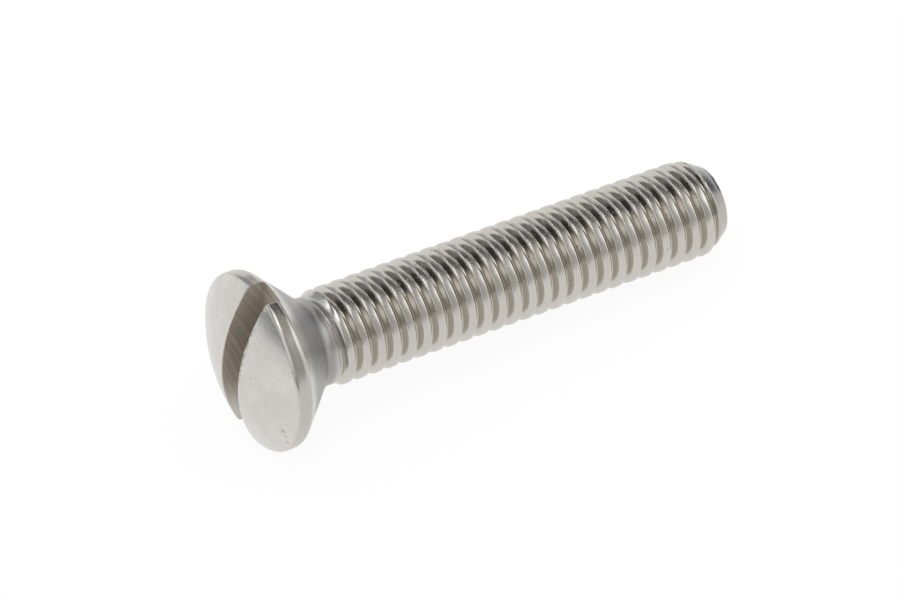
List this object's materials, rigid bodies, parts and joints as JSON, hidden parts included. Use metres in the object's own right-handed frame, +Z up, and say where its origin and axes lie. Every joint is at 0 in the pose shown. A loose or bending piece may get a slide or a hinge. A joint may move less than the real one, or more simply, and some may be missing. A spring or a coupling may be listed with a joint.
{
  "type": "machine screw",
  "caption": "Slotted machine screw with a raised countersunk head, right-hand metric thread along the whole shank and a tapered flat tip, lying at rest.",
  "frame": {"origin": "centre of the lying screw's box, on the surface that it rests on", "axes": "+X along the screw from head to tip, +Z up from the surface; the screw's own axis and its slot lie in the XZ plane, and the axis falls a little towards the tip"},
  "size_m": [0.032, 0.0106, 0.0106],
  "materials": {
    "steel": "satin stainless steel, tumbled, with fine pits and brown shade in the slot and thread"
  },
  "bodies": {
    "root": {"screw": "steel"}
  },
  "joints": []
}
